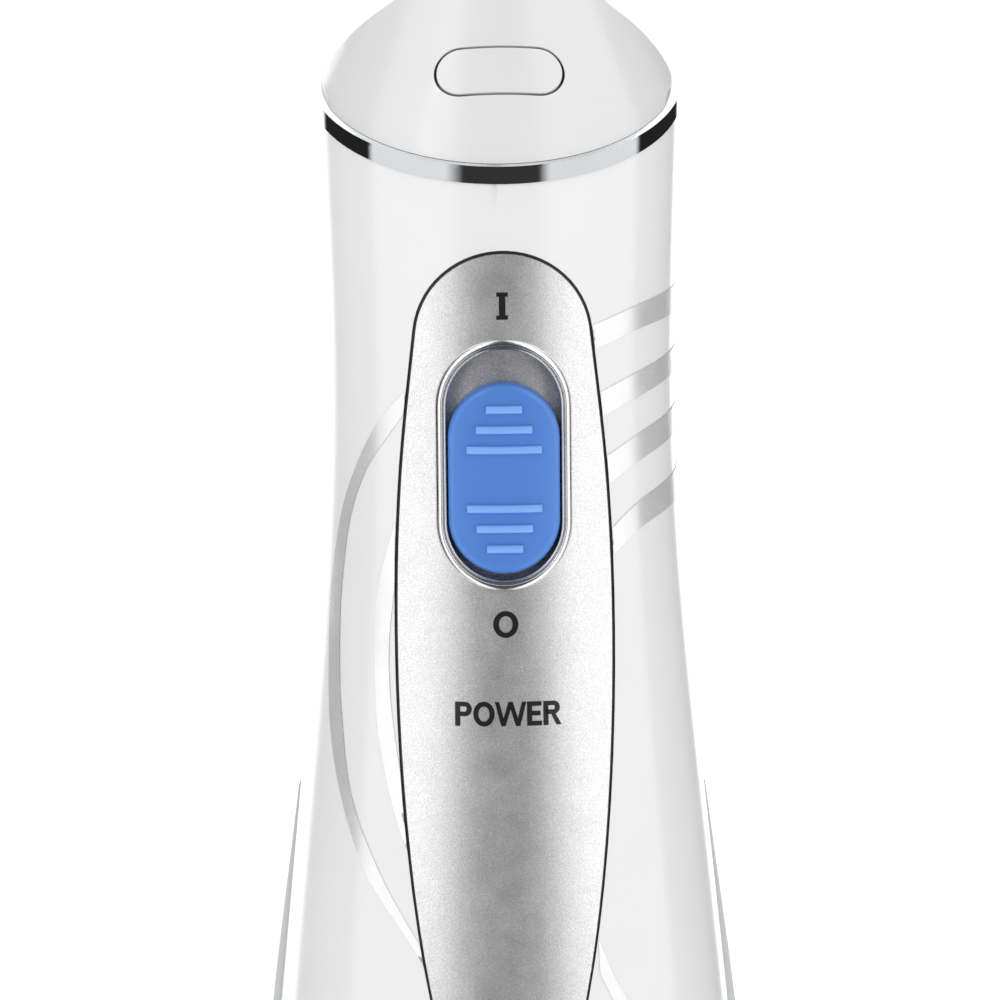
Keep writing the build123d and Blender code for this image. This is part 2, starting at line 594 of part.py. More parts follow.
def pump_cylinder():
    """Cylinder with the valve tower at its side: inlet seat below, outlet seat above."""
    solid = bar_x(DRIVE_Y, PUMP_Z, -20.0, -9.8, 5.2)
    solid += post(TOWER_X, TOWER_Y, TOWER_LOW, TOWER_HIGH, 3.4)
    solid += block(-19.0, -15.0, TOWER_Y, 1.5, 136.4, 140.8)
    solid -= bar_x(DRIVE_Y, PUMP_Z, -19.4, -9.0, BORE)
    for low, high in ((INLET_SEAT, 140.6), (OUTLET_SEAT, 147.6)):
        solid -= post(TOWER_X, TOWER_Y, low, high, 2.2)
    solid -= post(TOWER_X, TOWER_Y, TOWER_LOW - 1, TOWER_HIGH + 1, SEAT)
    return solid - bar_y(-18.4, PUMP_Z, TOWER_Y, DRIVE_Y, 0.8)


def valve_ball(seat_z):
    lift = sqrt(BALL**2 - SEAT**2) + 0.02
    return Pos(TOWER_X, TOWER_Y, seat_z + lift) * Sphere(BALL)


def hose(route, radii):
    """Hose along straight runs joined by arcs."""
    path = FilletPolyline(*route, radius=radii) if radii else Line(*route)
    start = Plane(origin=route[0], z_dir=(0, 0, 1))
    return sweep(start * Circle(HOSE), path=path) - sweep(start * Circle(HOSE_BORE), path=path)


def suction_hose():
    return hose([(PORT_X, TOWER_Y, PORT_Z + 4.6), (TOWER_X, TOWER_Y, TOWER_LOW - GAP)], None)


def outlet_hose():
    """From the top of the valve tower to the nozzle socket."""
    start, end = (TOWER_X, TOWER_Y, TOWER_HIGH + GAP), (0, 0, NOZZLE_LOW - GAP)
    return hose([start, (TOWER_X, TOWER_Y, 156.5), (0, 0, 161.5), end], [6.0, 6.0])


def pump_chassis():
    """Plate between the motor and the gears, hung on two uprights."""
    low, high = CHASSIS_LOW, CHASSIS_LOW + CHASSIS_THICK
    plate = post(0, 0, low, high, 21.6) - block(-REACH, REACH, -REACH, -14.0, low - 1, high + 1)
    for x in (-CASE_SCREW_X, CASE_SCREW_X):
        foot = block(x - 1.5, x + 1.5, CHASSIS_FOOT_Y, CHASSIS_FOOT_Y + 2.5, CASE_SCREW_Z - 3, high - 0.8)
        plate += foot - bar_y(x, CASE_SCREW_Z, CHASSIS_FOOT_Y - 1, CHASSIS_FOOT_Y + 3, SCREW_RADIUS)
    for x, y, radius in ((MOTOR_X, DRIVE_Y, 3.5), (GEAR_X, DRIVE_Y, AXLE), (TOWER_X, TOWER_Y, 4.0)):
        plate -= post(x, y, low - 1, high + 1, radius)
    return plate


# --- Power ------------------------------------------------------------------------------------------
def battery_cell():
    can = post(0, CELL_Y, CELL_LOW, CELL_HIGH, CELL_RADIUS)
    return can + post(0, CELL_Y, CELL_HIGH, CELL_HIGH + 1.2, 3.0)


def battery_contacts():
    """A sprung strip under the cell and one over its cap, each with its tab."""
    under, over = CELL_LOW - GAP, CELL_HIGH + 1.2 + GAP
    low = block(-4, 4, -22.5, -9, under - 0.55, under) + block(-4, 4, -22.5, -22.1, 4, under)
    high = block(-4, 4, -17, -9, over, over + 0.55) + block(-1, 1, -17, -16.6, over + 0.55, BOARD_LOW - 0.2)
    return Compound(children=[low, high])


def screws(places, low, high):
    """Countersunk screws pointing up."""
    bodies = []
    for x, y in places:
        shank = post(x, y, low, high, 1.2)
        slot = block(x - 1.6, x + 1.6, y - 0.3, y + 0.3, 0, low + 0.5)
        bodies.append(shank + post(x, y, low, low + 1.0, 2.3) - slot)
    return Compound(children=bodies)


def case_screws():
    """Screws that hold the chassis to the back of the case."""
    bodies = []
    for x in (-CASE_SCREW_X, CASE_SCREW_X):
        shank = bar_y(x, CASE_SCREW_Z, CHASSIS_FOOT_Y, 22.5, SCREW_RADIUS)
        bodies.append(shank + bar_y(x, CASE_SCREW_Z, CHASSIS_FOOT_Y - 1.2, CHASSIS_FOOT_Y, 1.7))
    return Compound(children=bodies)


NODES = {
    "front_shell": front_shell(),
    "rear_shell": rear_shell(),
    "base_plate": base_plate(),
    "base_feet": pads([(-24, -8), (24, -8), (0, -27)], 4.0),
    "base_screws": screws(BASE_SCREWS, FOOT + 0.15, 8.0),
    "chrome_ring": chrome_ring(),
    "head_cap": head_cap(),
    "control_panel": control_panel(),
    "panel_gasket": panel_gasket(),
    "slot_bezel": slot_bezel(),
    "slide_track": slide_track(),
    "power_slider": power_slider(),
    "switch_carriage": switch_carriage(),
    "slide_switch": slide_switch(),
    "circuit_board": circuit_board(),
    "charge_light": charge_light(),
    "release_button": release_button(),
    "release_latch": release_latch(),
    "latch_spring": latch_spring(),
    "nozzle_socket": nozzle_socket(),
    "socket_oring": ring_seal(0, 0, NOZZLE_TOP + 0.5, 3.9, 0.5),
    "tip_dial": tip_dial(),
    "jet_tip": jet_tip(),
    "tip_ring": tip_ring(),
    "tank_shell": tank_shell(),
    "tank_feet": pads([(-22, 14), (22, 14), (0, 29)], 4.0),
    "fill_door": fill_door(),
    "door_gasket": door_gasket(),
    "door_pin": door_pin(),
    "tank_outlet": tank_outlet(),
    "outlet_oring": outlet_oring(),
    "inlet_port": inlet_port(),
    "charge_socket": charge_socket(),
    "charge_cover": charge_cover(),
    "cover_pin": cover_pin(),
    "motor_can": motor_can(),
    "drive_pinion": drive_pinion(),
    "crank_gear": crank_gear(),
    "gear_axle": gear_axle(),
    "connecting_rod": connecting_rod(),
    "pump_piston": pump_piston(),
    "piston_seal": piston_seal(),
    "pump_cylinder": pump_cylinder(),
    "inlet_valve_ball": valve_ball(INLET_SEAT),
    "outlet_valve_ball": valve_ball(OUTLET_SEAT),
    "suction_hose": suction_hose(),
    "outlet_hose": outlet_hose(),
    "pump_chassis": pump_chassis(),
    "battery_cell": battery_cell(),
    "battery_contacts": battery_contacts(),
    "case_screws": case_screws(),
}

os.makedirs("parts", exist_ok=True)
for name, shape in NODES.items():
    export_step(shape, f"parts/{name}.step")
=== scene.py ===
import json
from math import cos, pi, radians, sin

import bmesh
import bpy
from mathutils import Matrix, Vector
from mathutils.bvhtree import BVHTree


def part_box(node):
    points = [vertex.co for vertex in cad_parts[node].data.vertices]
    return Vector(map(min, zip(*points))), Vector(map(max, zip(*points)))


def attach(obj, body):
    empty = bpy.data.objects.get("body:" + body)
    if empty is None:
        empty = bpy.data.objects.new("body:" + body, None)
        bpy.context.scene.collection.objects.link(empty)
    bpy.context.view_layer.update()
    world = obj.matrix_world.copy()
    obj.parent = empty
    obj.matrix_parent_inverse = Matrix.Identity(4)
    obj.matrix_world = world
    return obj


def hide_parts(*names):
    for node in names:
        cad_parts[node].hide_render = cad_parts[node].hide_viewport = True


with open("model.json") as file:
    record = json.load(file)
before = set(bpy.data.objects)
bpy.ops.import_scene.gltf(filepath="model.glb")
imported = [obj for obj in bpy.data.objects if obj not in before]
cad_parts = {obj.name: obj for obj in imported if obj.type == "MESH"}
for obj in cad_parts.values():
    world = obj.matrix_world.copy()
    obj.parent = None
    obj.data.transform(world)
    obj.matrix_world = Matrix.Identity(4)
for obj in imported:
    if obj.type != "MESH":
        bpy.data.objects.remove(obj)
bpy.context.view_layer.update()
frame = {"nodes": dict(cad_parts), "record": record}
nodes = frame["nodes"]
MM = 0.001


# --- Materials ------------------------------------------------------------------------
PLASTIC_GRAIN, METAL_GRAIN = 2500, 3000  # cycles per metre


def new_material(name):
    """A material with a Principled shader, returned with its node tree and that shader."""
    made = bpy.data.materials.new(name)
    made.use_nodes = True
    tree = made.node_tree
    return made, tree, tree.nodes["Principled BSDF"]


def object_coords(tree):
    return tree.nodes.new("ShaderNodeTexCoord").outputs["Object"]


def noise(tree, scale, detail=2.0, roughness=0.5):
    """Noise in object space, with its scale in cycles per metre."""
    made = tree.nodes.new("ShaderNodeTexNoise")
    made.inputs["Scale"].default_value = scale
    made.inputs["Detail"].default_value = detail
    made.inputs["Roughness"].default_value = roughness
    tree.links.new(object_coords(tree), made.inputs["Vector"])
    return made.outputs["Fac"]


def ramp(tree, value, stops):
    """Colour ramp through (position, colour) stops."""
    made = tree.nodes.new("ShaderNodeValToRGB")
    elements = made.color_ramp.elements
    elements[0].position, elements[1].position = stops[0][0], stops[-1][0]
    elements[0].color, elements[1].color = (*stops[0][1], 1), (*stops[-1][1], 1)
    for position, colour in stops[1:-1]:
        elements.new(position).color = (*colour, 1)
    tree.links.new(value, made.inputs["Fac"])
    return made.outputs["Color"]


def bump(tree, shader, height, strength, distance):
    made = tree.nodes.new("ShaderNodeBump")
    made.inputs["Strength"].default_value = strength
    made.inputs["Distance"].default_value = distance
    tree.links.new(height, made.inputs["Height"])
    tree.links.new(made.outputs["Normal"], shader.inputs["Normal"])


def shade(colour, factor):
    return tuple(min(1.0, channel * factor) for channel in colour)


def plastic(name, colour, roughness=0.3, coat=0.0, vary=0.03, grain=0.15, soft=0.0, shine=0.5):
    """Moulded plastic: a faint colour drift, and a fine grain in the surface."""
    made, tree, shader = new_material(name)
    stops = [(0.35, shade(colour, 1 - vary)), (0.65, shade(colour, 1 + vary))]
    tree.links.new(ramp(tree, noise(tree, 60, 3), stops), shader.inputs["Base Color"])
    worn = [(0.3, (roughness * 0.85,) * 3), (0.7, (roughness * 1.15,) * 3)]
    tree.links.new(ramp(tree, noise(tree, 180, 4), worn), shader.inputs["Roughness"])
    shader.inputs["Specular IOR Level"].default_value = shine
    shader.inputs["Coat Weight"].default_value = coat
    shader.inputs["Coat Roughness"].default_value = 0.06
    shader.inputs["Subsurface Weight"].default_value = soft
    shader.inputs["Subsurface Radius"].default_value = (0.002, 0.002, 0.002)
    shader.inputs["Subsurface Scale"].default_value = 1.0
    bump(tree, shader, noise(tree, PLASTIC_GRAIN, 2), grain, 0.00001)
    return made


def metal(name, colour, roughness, grain=0.1):
    made, tree, shader = new_material(name)
    shader.inputs["Metallic"].default_value = 1.0
    stops = [(0.35, shade(colour, 0.96)), (0.65, shade(colour, 1.03))]
    tree.links.new(ramp(tree, noise(tree, 90, 3), stops), shader.inputs["Base Color"])
    worn = [(0.3, (roughness * 0.8,) * 3), (0.7, (roughness * 1.25,) * 3)]
    tree.links.new(ramp(tree, noise(tree, 220, 3), worn), shader.inputs["Roughness"])
    bump(tree, shader, noise(tree, METAL_GRAIN, 2), grain, 0.000005)
    return made


def metallic_paint(name, colour, roughness, sparkle):
    """Silver paint: fine flakes that differ in brightness and tilt, under a satin coat."""
    made, tree, shader = new_material(name)
    shader.inputs["Metallic"].default_value = 0.8
    flakes = noise(tree, 4800, 2, 0.8)
    stops = [
        (0.30, shade(colour, 1 - sparkle)),
        (0.52, colour),
        (0.66, shade(colour, 1 + sparkle)),
        (0.74, shade(colour, 1 + 2.2 * sparkle)),
    ]
    tree.links.new(ramp(tree, flakes, stops), shader.inputs["Base Color"])
    worn = [(0.3, (roughness * 0.9,) * 3), (0.7, (roughness * 1.1,) * 3)]
    tree.links.new(ramp(tree, noise(tree, 300, 3), worn), shader.inputs["Roughness"])
    shader.inputs["Coat Weight"].default_value = 0.15
    shader.inputs["Coat Roughness"].default_value = 0.2
    bump(tree, shader, flakes, 0.4, 0.00003)
    return made


def foil_film(name, colour, roughness):
    """Hot-stamped silver foil: mirror film that has taken some of the plastic's dullness."""
    made = metal(name, colour, roughness, grain=0.06)
    shader = made.node_tree.nodes["Principled BSDF"]
    shader.inputs["Metallic"].default_value = 0.42
    return made


def blue_with_painted_ridge_highlight(name):
    """Slider plastic with a painted highlight: lighter blue on the raised ridges, picked out where they
    stand furthest from the body's axis.
    """
    made = plastic(name, SLIDER_BLUE, roughness=0.34, coat=0.12, vary=0.02, grain=0.2, soft=0.15)
    tree = made.node_tree
    shader = tree.nodes["Principled BSDF"]
    base = shader.inputs["Base Color"].links[0].from_socket
    split = tree.nodes.new("ShaderNodeSeparateXYZ")
    tree.links.new(object_coords(tree), split.inputs["Vector"])
    flat = tree.nodes.new("ShaderNodeCombineXYZ")
    tree.links.new(split.outputs["X"], flat.inputs["X"])
    tree.links.new(split.outputs["Y"], flat.inputs["Y"])
    length = tree.nodes.new("ShaderNodeVectorMath")
    length.operation = "LENGTH"
    tree.links.new(flat.outputs["Vector"], length.inputs[0])
    ridge_highlight_mask = tree.nodes.new("ShaderNodeMapRange")
    ridge_highlight_mask.inputs["From Min"].default_value = 26.34 * MM
    ridge_highlight_mask.inputs["From Max"].default_value = 26.75 * MM
    tree.links.new(length.outputs["Value"], ridge_highlight_mask.inputs["Value"])
    mix = tree.nodes.new("ShaderNodeMix")
    mix.data_type = "RGBA"
    tree.links.new(ridge_highlight_mask.outputs["Result"], mix.inputs["Factor"])
    tree.links.new(base, mix.inputs["A"])
    # Painted highlight: the ridge tops take a lighter blue in place of the light they catch.
    mix.inputs["B"].default_value = (*RIDGE_HIGHLIGHT_BLUE, 1)
    tree.links.new(mix.outputs["Result"], shader.inputs["Base Color"])
    return made


SLIDER_BLUE = (0.074, 0.228, 0.665)
# Lighter blue painted on the ridge tops as a highlight.
RIDGE_HIGHLIGHT_BLUE = (0.21, 0.43, 0.92)

LOOKS = {
    "white_gloss": plastic("white_gloss", (0.83, 0.83, 0.833), 0.20, coat=0.25, vary=0.008, grain=0.05),
    "tank_clear": plastic("tank_clear", (0.68, 0.69, 0.70), 0.42, vary=0.004, grain=0.05, shine=0.12),
    "chrome": metal("chrome", (0.49, 0.50, 0.51), 0.05, grain=0.02),
    "silver_paint": metallic_paint("silver_paint", (0.805, 0.793, 0.793), 0.40, 0.22),
    "bezel_gloss": metal("bezel_gloss", (0.80, 0.80, 0.81), 0.24, grain=0.03),
    # Darker than the panel's silver paint: painted shade for the slide track sunk in the slot.
    "track_grey": metallic_paint("track_grey", (0.60, 0.59, 0.59), 0.5, 0.3),
    "seal_black": plastic("seal_black", (0.016, 0.016, 0.017), 0.5, vary=0.2, grain=0.4),
    "slider_blue": blue_with_painted_ridge_highlight("slider_blue"),
    "grey_rubber": plastic("grey_rubber", (0.33, 0.33, 0.34), 0.6, vary=0.06, grain=0.5),
    "inner_plastic": plastic("inner_plastic", (0.72, 0.72, 0.70), 0.45, grain=0.3),
    "clear_lens": plastic("clear_lens", (0.80, 0.86, 0.88), 0.12, coat=0.5, grain=0.02),
    "tip_white": plastic("tip_white", (0.80, 0.81, 0.82), 0.18, coat=0.3, vary=0.01, soft=0.3, grain=0.05),
    "tip_blue": plastic("tip_blue", (0.10, 0.28, 0.75), 0.22, coat=0.3, grain=0.05),
    "steel": metal("steel", (0.60, 0.60, 0.60), 0.3),
    "brass": metal("brass", (0.75, 0.57, 0.25), 0.28),
    "nylon": plastic("nylon", (0.82, 0.80, 0.74), 0.4, grain=0.2),
    "hose_clear": plastic("hose_clear", (0.72, 0.72, 0.69), 0.3, soft=0.3),
    "board_green": plastic("board_green", (0.03, 0.18, 0.07), 0.35, vary=0.15, coat=0.3),
    "cell_wrap": plastic("cell_wrap", (0.07, 0.14, 0.36), 0.3, coat=0.2),
    "mark_black": plastic("mark_black", (0.012, 0.012, 0.012), 0.35, vary=0.1, grain=0.1),
    "foil": foil_film("foil", (0.84, 0.84, 0.845), 0.24),
}


def dress_cad_nodes():
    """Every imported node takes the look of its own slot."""
    for entry in frame["record"]["subparts"]:
        piece = nodes[entry["node"]]
        piece.data.materials.clear()
        piece.data.materials.append(LOOKS[entry["material_slot"]])


# --- Pieces laid on the body ------------------------------------------------------------
def surface_of(names):
    """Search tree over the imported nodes, for laying things on them."""
    points, faces = [], []
    for name in names:
        mesh = nodes[name].data
        start = len(points)
        points += [vertex.co.copy() for vertex in mesh.vertices]
        faces += [[start + index for index in face.vertices] for face in mesh.polygons]
    return BVHTree.FromPolygons(points, faces)


CASE_SURFACE = surface_of(["front_shell", "rear_shell"])
PANEL_SURFACE = surface_of(["control_panel"])


def on_case(angle, height, lift):
    """Point on the casing at an angle from the front, positive to the right, and a height, in mm."""
    outward = Vector((sin(radians(angle)), -cos(radians(angle)), 0))
    start = outward * 60 * MM + Vector((0, 0, height * MM))
    hit = CASE_SURFACE.ray_cast(start, -outward)[0]
    return hit + outward * lift * MM


def on_panel(x, height, lift):
    """Point on the front of the control panel, in mm."""
    hit = PANEL_SURFACE.ray_cast(Vector((x * MM, -60 * MM, height * MM)), Vector((0, 1, 0)))[0]
    return hit + Vector((0, -lift * MM, 0))


def add_mesh(name, points, faces, look, body, smooth=True):
    mesh = bpy.data.meshes.new(name)
    mesh.from_pydata([tuple(point) for point in points], [], faces)
    mesh.validate()
    mesh.materials.append(LOOKS[look])
    if smooth:
        mesh.shade_smooth()
    piece = bpy.data.objects.new(name, mesh)
    bpy.context.scene.collection.objects.link(piece)
    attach(piece, body)
    return piece


def smooth_line(points, count):
    """Evenly stepped points of a Catmull-Rom curve through the given ones."""
    line = [points[0], *points, points[-1]]
    out = []
    spans = len(points) - 1
    for step in range(count + 1):
        along = step / count * spans
        span = min(int(along), spans - 1)
        t = along - span
        a, b, c, d = line[span : span + 4]
        out.append(tuple(
            0.5 * (2 * q + (r - p) * t + (2 * p - 5 * q + 4 * r - s) * t**2 + (3 * q - p - 3 * r + s) * t**3)
            for p, q, r, s in zip(a, b, c, d)
        ))
    return out


FOIL_LIFT = 0.09


def body_radius(height):
    """Radius of the casing at a height, in mm, measured at its side."""
    hit = on_case(80, height, 0)
    return (hit.x**2 + hit.y**2) ** 0.5 / MM


def clear_of_recess(angle, height):
    """The angle, moved outward if need be to the edge of the recess that the panel lies in."""
    def sunk(turn):
        hit = on_case(turn, height, 0)
        return body_radius(height) - (hit.x**2 + hit.y**2) ** 0.5 / MM > 0.12

    if not sunk(angle):
        return angle
    inner, outer = angle, angle + (16 if angle > 0 else -16)
    for _ in range(12):
        middle = (inner + outer) / 2
        inner, outer = (middle, outer) if sunk(middle) else (inner, middle)
    return outer


def foil(name, edge_a, edge_b, along=48, across=4):
    """Foil between two edges, each a list of (angle, height) on the casing."""
    first, second = smooth_line(edge_a, along), smooth_line(edge_b, along)
    points, faces = [], []
    for low, high in zip(first, second):
        for step in range(across + 1):
            t = step / across
            height = low[1] + (high[1] - low[1]) * t
            angle = radians(clear_of_recess(low[0] + (high[0] - low[0]) * t, height))
            reach = body_radius(height) + FOIL_LIFT
            points.append(Vector((reach * sin(angle), -reach * cos(angle), height)) * MM)
    row = across + 1
    for i in range(along):
        for j in range(across):
            corner = i * row + j
            faces.append((corner, corner + 1, corner + row + 1, corner + row))
    piece = add_mesh(name, points, faces, "foil", "case")
    return piece


# Upper and lower edges of the four stripes on the right, as (angle, height).
STRIPES = [
    (
        [(29, 147.0), (49, 149.3), (70, 150.6), (92, 151.2)],
        [(30, 143.6), (49, 145.9), (70, 146.9), (92, 147.4)],
    ),
    (
        [(33, 137.7), (50, 140.0), (75, 141.9), (93, 142.4)],
        [(33, 134.2), (50, 136.5), (75, 138.5), (93, 138.9)],
    ),
    (
        [(35, 128.7), (53, 131.7), (78, 133.8), (94, 134.3)],
        [(35.5, 124.8), (53, 127.9), (78, 130.0), (94, 130.5)],
    ),
    (
        [(35.5, 118.4), (52.5, 122.4), (84, 125.2), (96, 125.7)],
        [(36, 114.7), (52.5, 118.6), (84, 121.0), (96, 121.6)],
    ),
]
# Outer and inner edges of the sweeping arcs on the left.
OUTER_ARC = (
    [(-31, 138.8), (-44, 133.5), (-56, 126), (-64, 118.5), (-68, 108.4), (-66, 98.5),
     (-62, 90), (-54, 81), (-41.6, 70.6), (-27, 61.7), (-15, 52.5)],
    [(-31, 136.2), (-40, 131.6), (-50, 126.2), (-57.6, 118.8), (-60.6, 108.8), (-59, 99),
     (-55.5, 91), (-49, 81), (-36.5, 70.6), (-23.5, 61.2), (-15, 54.5)],
)  # fmt: skip
INNER_ARC = (
    [(-36, 120.4), (-42.4, 111), (-43.2, 104), (-42, 97), (-39.7, 90), (-32.6, 79), (-25, 71.0)],
    [(-35, 114.5), (-36.5, 109), (-37.4, 103), (-36.6, 97), (-34.2, 90.6), (-29, 80), (-25, 73.5)],
)
LOWER_STRIPE = ([(24, 62), (28, 56.5), (32.6, 52), (38, 47)], [(24, 57), (28, 52.5), (32.6, 48), (38, 43)])


def add_foils():
    for index, (upper, lower) in enumerate(STRIPES):
        foil(f"foil_stripe_{index + 1}", upper, lower)
    foil("foil_arc_outer", *OUTER_ARC, along=96)
    foil("foil_arc_inner", *INNER_ARC, along=60)
    foil("foil_stripe_lower", *LOWER_STRIPE)


def lay_on_panel(piece, lift):
    """Moves each vertex of a flat mesh, drawn in X and Z in mm, onto the panel."""
    for vertex in piece.data.vertices:
        vertex.co = on_panel(vertex.co.x, vertex.co.z, lift)


MARK_LIFT = 0.05


def flat_mark(name, outlines, faces):
    piece = add_mesh(name, [(x, 0, z) for x, z in outlines], faces, "mark_black", "case", smooth=False)
    mesh = bmesh.new()
    mesh.from_mesh(piece.data)
    bmesh.ops.subdivide_edges(mesh, edges=mesh.edges[:], cuts=2, use_grid_fill=True)
    mesh.to_mesh(piece.data)
    mesh.free()
    lay_on_panel(piece, MARK_LIFT)
    return piece


def rectangle(left, right, low, high):
    return [(left, low), (right, low), (right, high), (left, high)]


def add_on_mark():
    """Upright bar with short serifs."""
    centre_x, centre_z = -0.1, 150.3
    points, faces = [], []
    for half_width, low, high in ((0.8, 1.3, 1.9), (0.44, -1.3, 1.3), (0.8, -1.9, -1.3)):
        start = len(points)
        points += rectangle(centre_x - half_width, centre_x + half_width, centre_z + low, centre_z + high)
        faces.append((start, start + 1, start + 2, start + 3))
    flat_mark("mark_on", points, faces)


def add_off_mark():
    """Upright oval ring."""
    centre_z, turns = 106.1, 48
    points, faces = [], []
    for index in range(turns):
        angle = 2 * pi * index / turns
        for width, height in ((1.75, 1.85), (0.95, 1.15)):
            points.append((width * sin(angle), centre_z + height * cos(angle)))
    for index in range(turns):
        a, b = 2 * index, 2 * ((index + 1) % turns)
        faces.append((a, b, b + 1, a + 1))
    flat_mark("mark_off", points, faces)


def band(outer, inner):
    """Quads between two rows of points."""
    return [[outer[i], outer[i + 1], inner[i + 1], inner[i]] for i in range(len(outer) - 1)]


CAP_HEIGHT, STEM_WIDTH, BAR_WIDTH, SLANT_WIDTH = 3.35, 0.76, 0.64, 0.66


def bowl(width, depth):
    """Closed half of a P or R: two bars joined by a half round."""
    rows = []
    for shrink in (0, BAR_WIDTH):
        radius = depth / 2 - shrink
        middle = CAP_HEIGHT - depth / 2
        centre = width - depth / 2
        row = [(STEM_WIDTH * 0.5, middle + radius)]
        reach = depth / 2 - shrink * STEM_WIDTH / BAR_WIDTH
        row += [(centre + reach * sin(pi * i / 12), middle + radius * cos(pi * i / 12)) for i in range(13)]
        rows.append(row + [(STEM_WIDTH * 0.5, middle - radius)])
    return band(*rows)


def letter(shape):
    """Polygons of a plain bold letter, drawn from its lower left corner, and its width."""
    height, stem, bar = CAP_HEIGHT, STEM_WIDTH, BAR_WIDTH
    post = rectangle(0, stem, 0, height)
    if shape == "P":
        return [post, *bowl(2.5, 2.0)], 2.5
    if shape == "R":
        return [post, *bowl(2.5, 1.85), [(1.15, 1.55), (1.75, 1.7), (2.75, 0), (1.98, 0)]], 2.75
    if shape == "E":
        arms = ((2.25, 0), (2.05, 1.4), (2.2, height - bar))
        return [post, *[rectangle(0, reach, low, low + bar) for reach, low in arms]], 2.25
    if shape == "O":
        turn = [2 * pi * i / 40 for i in range(41)]
        outer = [(1.6 + 1.6 * sin(a), height / 2 + 1.72 * cos(a)) for a in turn]
        inner = [(1.6 + 0.84 * sin(a), height / 2 + 1.04 * cos(a)) for a in turn]
        return band(outer, inner), 3.2
    feet, tops = (0.95, 3.15), (0.0, 2.05, 4.1)
    strokes = []
    for foot in feet:
        for top in tops:
            if abs(foot - top) < 1.5:
                half = SLANT_WIDTH / 2
                lower = [(foot - half, 0), (foot + half, 0)]
                strokes.append(lower + [(top + half, height), (top - half, height)])
    return strokes, 4.3


def add_power_word():
    """The generic word under the switch, in plain bold capitals."""
    points, faces, along = [], [], 0.0
    for shape in "POWER":
        shapes, width = letter(shape)
        if shape == "W":
            along += 0.15
        for outline in shapes:
            start = len(points)
            points += [(along + x, z) for x, z in outline]
            faces.append(tuple(range(start, start + len(outline))))
        along += width + 0.22
    length = along - 0.22
    middle = 0.25
    stretch, low = WORD_LENGTH / length, WORD_HEIGHT - CAP_HEIGHT / 2
    placed = [((x - length / 2) * stretch + middle, low + z) for x, z in points]
    flat_mark("mark_power", placed, faces)


WORD_LENGTH, WORD_HEIGHT = 14.8, 93.7


# --- Rim of the slot and gap of the button ------------------------------------------------
def slot_path(half, low, high, steps=24):
    """Closed upright outline with round ends, as (x, z, outward x, outward z)."""
    path = []
    for centre, start in ((high - half, 0.0), (low + half, pi)):
        for step in range(steps + 1):
            angle = start + pi * step / steps
            path.append((half * cos(angle), centre + half * sin(angle), cos(angle), sin(angle)))
    return path


BEZEL, PANEL_PROUD = 1.5, 0.3
# Section of the rim as (outward from the slot's edge, up from the panel): slope, crest, groove, inner lip.
RIM_SECTION = [
    (1.53, -0.5), (1.53, 0.02), (1.44, 0.22), (1.26, 0.42), (1.04, 0.56), (0.84, 0.62), (0.70, 0.58),
    (0.60, 0.44), (0.54, 0.26), (0.46, 0.20), (0.38, 0.24), (0.32, 0.34), (0.22, 0.38), (0.12, 0.34),
    (0.05, 0.22), (0.03, 0.0), (0.03, -3.0),
]  # fmt: skip


def add_slot_rim():
    """Rounded rim that stands proud of the panel, with an inner lip, in place of the plain CAD sleeve."""
    low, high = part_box("slot_bezel")
    half = (high.x - low.x) / 2 / MM - BEZEL
    points, faces = [], []
    path = slot_path(half, low.z / MM + BEZEL, high.z / MM - BEZEL)
    for x, z, out_x, out_z in path:
        for out, up in RIM_SECTION:
            at_x, at_z = x + out * out_x, z + out * out_z
            radius = body_radius(at_z) + PANEL_PROUD + up
            points.append(Vector((at_x, -(radius**2 - at_x**2) ** 0.5, at_z)) * MM)
    row = len(RIM_SECTION)
    for i in range(len(path)):
        for j in range(row - 1):
            a, b = i * row + j, ((i + 1) % len(path)) * row + j
            faces.append((a, a + 1, b + 1, b))
    piece = add_mesh("slot_rim", points, faces, "bezel_gloss", "case")
    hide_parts("slot_bezel")


# Middle of the release button on the leaning face, that face's lean, and the button's size, in mm.
BUTTON_Y, BUTTON_Z, LEAN = -18.528, 182.4, 0.53
BUTTON_LONG, BUTTON_TALL = 17.4, 6.7
CAP_SURFACE = surface_of(["head_cap"])


def button_outline(grow, steps=20):
    """Points round the button, as (along X, up the face)."""
    radius, reach = BUTTON_TALL / 2 + grow, (BUTTON_LONG - BUTTON_TALL) / 2
    points = []
    for side in (1, -1):
        for step in range(steps + 1):
            angle = side * pi / 2 - pi * step / steps
            points.append((side * reach + radius * cos(angle), radius * sin(angle)))
    return points


def add_button_gap_shade():
    """Dark sheet sunk in the gap round the release button: a painted shadow of the gap, not a real seal."""
    scale = (1 + LEAN**2) ** 0.5
    out = Vector((0, -1, LEAN)) / scale
    up = Vector((0, LEAN, 1)) / scale
    middle = Vector((0, BUTTON_Y, BUTTON_Z))
    points, faces = [], []
    rings = [button_outline(0.05), button_outline(0.37)]
    around = len(rings[0])
    for (near, near_up), (far, far_up), (edge, edge_up) in zip(*rings, button_outline(0.8)):
        start = middle + Vector((edge, 0, 0)) + up * edge_up + out * 10
        hit = CAP_SURFACE.ray_cast(start * MM, -out)[0]
        depth = (hit / MM - middle).dot(out) - 0.45
        points.append((middle + Vector((near, 0, 0)) + up * near_up + out * depth) * MM)
        points.append((middle + Vector((far, 0, 0)) + up * far_up + out * depth) * MM)
    for i in range(around):
        a, b = 2 * i, 2 * ((i + 1) % around)
        faces.append((a, b, b + 1, a + 1))
    # Black sheet in the button's gap, standing in for the gap's shadow.
    piece = add_mesh("button_gap_shade", points, faces, "seal_black", "case", smooth=False)


